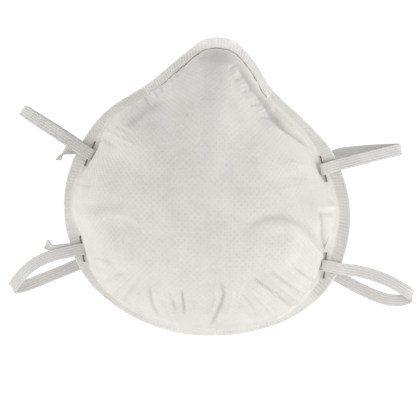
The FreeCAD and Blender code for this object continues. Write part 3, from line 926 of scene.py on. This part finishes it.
def tape(name, stations, joint_body, node_names, seed):
    """Ribbed flat elastic along stations of (point, width direction). The
    cut tail, up to just under the staple, stays on the mask."""
    k = next(i for i in range(len(stations)) if abs(stations[i][0][1] - Y_LOW) < 0.08 and stations[i + 1][0][1] == stations[i][0][1])
    tail, a = ribbon(name + "_tail", stations[:k + 2], None, node_names[:1], seed + 10)
    main, b = ribbon(name, stations[k:], joint_body, node_names, seed)
    gap = float(np.linalg.norm(stations[k + 1][0] - stations[k][0]))
    return main, a + b - gap


def ribbon(name, stations, joint_body, node_names, seed):
    r = np.random.default_rng(seed)
    P = np.array([s[0] for s in stations])
    W = np.array([s[1] for s in stations])
    # chord-length Catmull-Rom, resampled at an even step
    seg = np.linalg.norm(np.diff(P, axis=0), axis=1)
    knots = np.concatenate([[0], np.cumsum(np.sqrt(seg))])

    def cr(A, t):
        i = np.clip(np.searchsorted(knots, t, side="right") - 1, 0, len(knots) - 2)
        ta, tb = knots[i], knots[i + 1]
        f = (t - ta) / (tb - ta)
        A0 = A[max(i - 1, 0)] if i > 0 else 2 * A[0] - A[1]
        A3 = A[i + 2] if i + 2 < len(A) else 2 * A[-1] - A[-2]
        k0 = knots[i - 1] if i > 0 else 2 * knots[0] - knots[1]
        k3 = knots[i + 2] if i + 2 < len(knots) else 2 * knots[-1] - knots[-2]
        m1 = ((A[i + 1] - A[i]) / (tb - ta) - (A[i + 1] - A0) / (tb - k0) + (A[i] - A0) / (ta - k0)) * (tb - ta)
        m2 = ((A3 - A[i + 1]) / (k3 - tb) - (A3 - A[i]) / (k3 - ta) + (A[i + 1] - A[i]) / (tb - ta)) * (tb - ta)
        f2, f3 = f * f, f * f * f
        return (2 * f3 - 3 * f2 + 1) * A[i] + (f3 - 2 * f2 + f) * m1 + (-2 * f3 + 3 * f2) * A[i + 1] + (f3 - f2) * m2

    ts = np.linspace(0, knots[-1], 1500)
    fine = np.array([cr(P, t) for t in ts])
    wide = np.array([cr(W, t) for t in ts])
    L = np.concatenate([[0], np.cumsum(np.linalg.norm(np.diff(fine, axis=0), axis=1))])
    n = int(L[-1] / (0.42))
    s = np.linspace(0, L[-1], n)
    C = np.stack([np.interp(s, L, fine[:, k]) for k in range(3)], -1)
    Wd = np.stack([np.interp(s, L, wide[:, k]) for k in range(3)], -1)
    T = np.gradient(C, axis=0)
    T /= np.linalg.norm(T, axis=1, keepdims=True)
    Wd -= T * np.sum(Wd * T, axis=1, keepdims=True)
    Wd /= np.linalg.norm(Wd, axis=1, keepdims=True)
    K = np.cross(T, Wd)
    # cross section: five ribs on both faces, rounded edges
    vs = np.linspace(-1, 1, 41)
    half = BAND_W / 2 * 0.97
    ribs = 0.30 + 0.075 * np.abs(np.cos(vs * math.pi * 2.5))
    ribs = ribs * np.sqrt(np.clip(1 - np.abs(vs) ** 14, 0, 1)) + 0.03
    top = np.stack([vs * half, ribs], -1)
    bot = np.stack([vs[::-1] * half, -ribs[::-1]], -1)
    prof = np.vstack([top, bot])
    c = len(prof)
    wob = 0.05 * np.sin(s * 2.1 + r.uniform(0, 6)) + 0.04 * np.sin(s * 5.3 + r.uniform(0, 6))
    thick = 1 + 0.05 * np.sin(s * 1.3 + r.uniform(0, 6))
    # width and thickness wobble a little along the tape
    V3 = np.zeros((n, c, 3))
    for j in range(c):
        pv, ph = prof[j]
        V3[:, j] = C + Wd * (pv * (1 + wob * 0.12) )[:, None] + K * (ph * thick)[:, None] if False else \
            C + Wd * (pv * (1 + 0.15 * wob))[:, None] + K * (ph * thick)[:, None]
    v = V3.reshape(-1, 3)
    f = []
    for i in range(n - 1):
        for j in range(c):
            jj = (j + 1) % c
            f.append((i * c + j, i * c + jj, (i + 1) * c + jj, (i + 1) * c + j))
    f.append(tuple(range(c - 1, -1, -1)))
    f.append(tuple((n - 1) * c + j for j in range(c)))
    # only the part on the rim follows its wave
    near = 1 - smooth(np.hypot(v[:, 0], v[:, 2]), 60.0, 72.0)
    near *= 1 - smooth(v[:, 1], 0.0, 4.0)
    wv = warp(v)
    v = v + (wv - v) * near[:, None]
    ob = new_mesh(name, v, f, None, TAPE)
    flat = np.zeros((n, c, 3))
    flat[..., 0] = s[:, None]
    flat[..., 1] = prof[None, :, 0]
    add_flat(ob, flat.reshape(-1, 3))
    if joint_body is None:
        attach(ob, "mask")
    else:
        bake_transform(ob)
    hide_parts(*node_names)
    return ob, float(L[-1])


lengths = {}
# upper left
st, c, d, w = root_stations(STAPLES["upper_left"][0], (-0.845, 0.535), [15.5, 12.0, 9.0, 3.5])
st = run([(-68.3, -0.6, 13.8)], (0.22, 0.96, -0.12)) + run([(-66.5, -1.1, 16.4)], (0.30, 0.82, 0.42)) \
    + run([(-64.1, -1.6, 18.2)], (0.42, 0.40, 0.80)) + run([(-60.9, -1.88, 19.0)], w) + st[3:]
A = st + run([(-59.0, -3.0, 19.8), (-67.3, -2.3, 25.2), (-76.5, -0.4, 30.9), (-82.6, 1.8, 34.8)], w)
A += run([(-84.6, 3.1, 36.1), (-85.4, 4.3, 36.6), (-84.6, 5.6, 36.1)], (0.6, 0, 0.8))
A += run([(-82.0, 6.4, 34.5), (-76.0, 7.0, 30.7), (-67.0, 7.8, 25.0), (-60.0, 8.6, 20.2)], (0.56, 0, 0.83))
A += run([(-50.0, 9.8, 13.0)], (0.5, 0, 0.86)) + run([(-38.0, 11.2, 6.2), (-22.0, 12.6, 0.8), (0.0, 13.4, -1.8)], (0, 0, 1))
ob, lengths["upper_left"] = tape("upper_headband_left_half", A, "upper_headband", ["upper_headband_left", "upper_headband_back"], 1)
# upper right
st, c, d, w = root_stations(STAPLES["upper_right"][0], (0.972, 0.235), [5.5, 3.0])
A = st + run([(58.5, -2.6, 11.3), (66.0, -1.2, 13.2), (76.0, 0.6, 15.7), (84.5, 2.2, 17.8)], w)
A += run([(87.4, 3.1, 18.4), (88.3, 4.3, 18.6), (87.4, 5.6, 18.6)], (-0.16, 0, 0.98))
A += run([(84.0, 6.4, 18.5), (76.0, 7.0, 18.1), (67.0, 7.8, 17.3), (60.0, 8.6, 16.2)], (-0.08, 0, 0.99))
A += run([(50.0, 9.8, 11.0)], (-0.42, 0, 0.9)) + run([(38.0, 11.2, 5.0), (22.0, 12.6, -0.2), (0.0, 13.4, -1.8)], (0, 0, 1))
ob, lengths["upper_right"] = tape("upper_headband_right_half", A, "upper_headband", ["upper_headband_right"], 2)
# lower left
st, c, d, w = root_stations(STAPLES["lower_left"][0], (-0.995, -0.1), [17.5, 13.5, 9.8, 3.5])
st = run([(-74.3, -0.9, -25.0)], (0.38, -0.42, 0.82)) + run([(-71.2, -1.4, -26.6)], (0.12, -0.80, 0.55)) \
    + run([(-67.2, -1.7, -27.0)], (0.0, -0.66, 0.75)) + run([(-63.8, -1.85, -27.2)], (0.0, -0.22, 0.97)) + st[3:]
A = st + run([(-62.7, -3.0, -28.2)], w) + run([(-69.6, -2.6, -29.8)], (-0.28, 0, 0.96))
A += run([(-76.5, -1.4, -32.5)], (-0.42, 0, 0.9)) + run([(-82.4, 0.3, -36.2)], (-0.55, 0, 0.83))
A += run([(-87.0, 2.2, -40.8)], (-0.64, 0, 0.77))
A += run([(-89.9, 3.5, -44.7), (-90.8, 4.7, -45.9), (-89.6, 5.9, -46.0)], (-0.59, 0, 0.81))
A += run([(-85.0, 6.6, -45.0), (-76.5, 7.1, -41.7), (-67.3, 7.8, -38.0), (-60.0, 8.6, -35.0)], (-0.38, 0, 0.92))
A += run([(-50.0, 9.8, -32.6), (-38.0, 11.2, -33.0), (-20.0, 12.6, -35.4), (0.0, 13.4, -37.0)], (0, 0, 1))
ob, lengths["lower_left"] = tape("lower_headband_left_half", A, "lower_headband", ["lower_headband_left", "lower_headband_back"], 3)
# lower right
st, c, d, w = root_stations(STAPLES["lower_right"][0], (0.99, -0.13), [5.5, 3.0])
A = st + run([(60.9, -2.6, -35.7)], w) + run([(67.8, -1.4, -36.6)], (0.18, 0, 0.98))
A += run([(74.7, -0.2, -38.3)], (0.28, 0, 0.96)) + run([(81.5, 1.0, -40.8)], (0.38, 0, 0.92))
A += run([(88.0, 2.2, -44.2)], (0.46, 0, 0.89))
A += run([(92.6, 3.2, -47.3), (93.8, 4.4, -48.6), (92.6, 5.7, -49.6)], (0.2, 0, 0.98))
A += run([(89.0, 6.4, -50.9), (83.0, 6.9, -50.6), (76.0, 7.3, -48.3), (68.0, 7.9, -44.6), (60.5, 8.6, -40.6)], (0.36, 0, 0.93))
A += run([(50.0, 9.8, -36.6), (38.0, 11.2, -35.9), (20.0, 12.6, -37.0), (0.0, 13.4, -37.0)], (0, 0, 1))
ob, lengths["lower_right"] = tape("lower_headband_right_half", A, "lower_headband", ["lower_headband_right"], 4)
print("tape lengths mm", {k: round(v, 1) for k, v in lengths.items()})

# -------------------------------------------------------------- floor, lights
FLOOR_Z = -0.34
me = bpy.data.meshes.new("floor")
me.from_pydata([(-8, -8, FLOOR_Z), (8, -8, FLOOR_Z), (8, 8, FLOOR_Z), (-8, 8, FLOOR_Z)], [], [(0, 1, 2, 3)])
floor = bpy.data.objects.new("floor", me)
bpy.context.scene.collection.objects.link(floor)
fm, nt, b = material("pale_floor")
b.inputs["Base Color"].default_value = (0.85, 0.85, 0.85, 1)
b.inputs["Roughness"].default_value = 0.9
b.inputs["Emission Color"].default_value = (1, 1, 1, 1)
# the floor glows on its own, painted dimmer near the mask and brighter away from it, like a lit studio sweep
geo = nt.nodes.new("ShaderNodeNewGeometry")
away = node(nt, "ShaderNodeVectorMath", [(0, geo.outputs["Position"])], operation="LENGTH")
glow = nt.nodes.new("ShaderNodeMapRange")
glow.interpolation_type = "SMOOTHSTEP"
nt.links.new(away.outputs["Value"], glow.inputs["Value"])
for key, val in (("From Min", 0.45), ("From Max", 1.15), ("To Min", 0.22), ("To Max", 0.52)):
    glow.inputs[key].default_value = val
nt.links.new(glow.outputs["Result"], b.inputs["Emission Strength"])
me.materials.append(fm)

world = bpy.data.worlds.new("world")
bpy.context.scene.world = world
world.use_nodes = True
nt = world.node_tree
nt.nodes.clear()
out = nt.nodes.new("ShaderNodeOutputWorld")
tc = nt.nodes.new("ShaderNodeTexCoord")
sep = node(nt, "ShaderNodeSeparateXYZ", [(0, tc.outputs["Generated"])])
# a light tent: bright all round, dim where the camera looks in
t = mathn(nt, "MULTIPLY_ADD", sep.outputs[1], 0.5, 0.5)
shade = ramp(nt, t, [(0.0, (0.385, 0.385, 0.39)), (0.35, (0.60, 0.60, 0.60)), (0.75, (0.70, 0.70, 0.695)), (1.0, (0.72, 0.72, 0.715))])
soft = node(nt, "ShaderNodeBackground", [(0, shade)])
soft.inputs[1].default_value = 1.0
white = node(nt, "ShaderNodeBackground")
white.inputs[0].default_value = (1, 1, 1, 1)
white.inputs[1].default_value = 1.05
lp = nt.nodes.new("ShaderNodeLightPath")
mix = node(nt, "ShaderNodeMixShader", [(0, lp.outputs["Is Camera Ray"]), (1, soft.outputs[0]), (2, white.outputs[0])])
nt.links.new(mix.outputs[0], out.inputs[0])


def area(name, loc, size, power, target=(0, -0.02, 0), colour=(1, 1, 1)):
    d = bpy.data.lights.new(name, "AREA")
    d.shape = "RECTANGLE"
    d.size, d.size_y = size
    d.energy = power
    d.color = colour
    o = bpy.data.objects.new(name, d)
    bpy.context.scene.collection.objects.link(o)
    o.location = loc
    o.rotation_mode = "QUATERNION"
    o.rotation_quaternion = (Vector(target) - Vector(loc)).to_track_quat("-Z", "Y")
    return o


area("key_lower_right", (0.72, -0.52, -0.14), (0.5, 0.4), 2.1)
area("side_left", (-0.95, -0.26, -0.02), (0.5, 0.6), 2.7)
area("top", (0.0, -0.12, 0.95), (0.7, 0.4), 1.3)
area("side_right", (1.0, -0.12, 0.2), (0.4, 0.7), 0.9)

sc = bpy.context.scene
sc.view_settings.view_transform = "Standard"
sc.view_settings.look = "None"
sc.view_settings.exposure = 0.0
sc.view_settings.gamma = 1.0

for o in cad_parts.values():
    if not o.hide_render:
        print("CAD node still showing:", o.name)
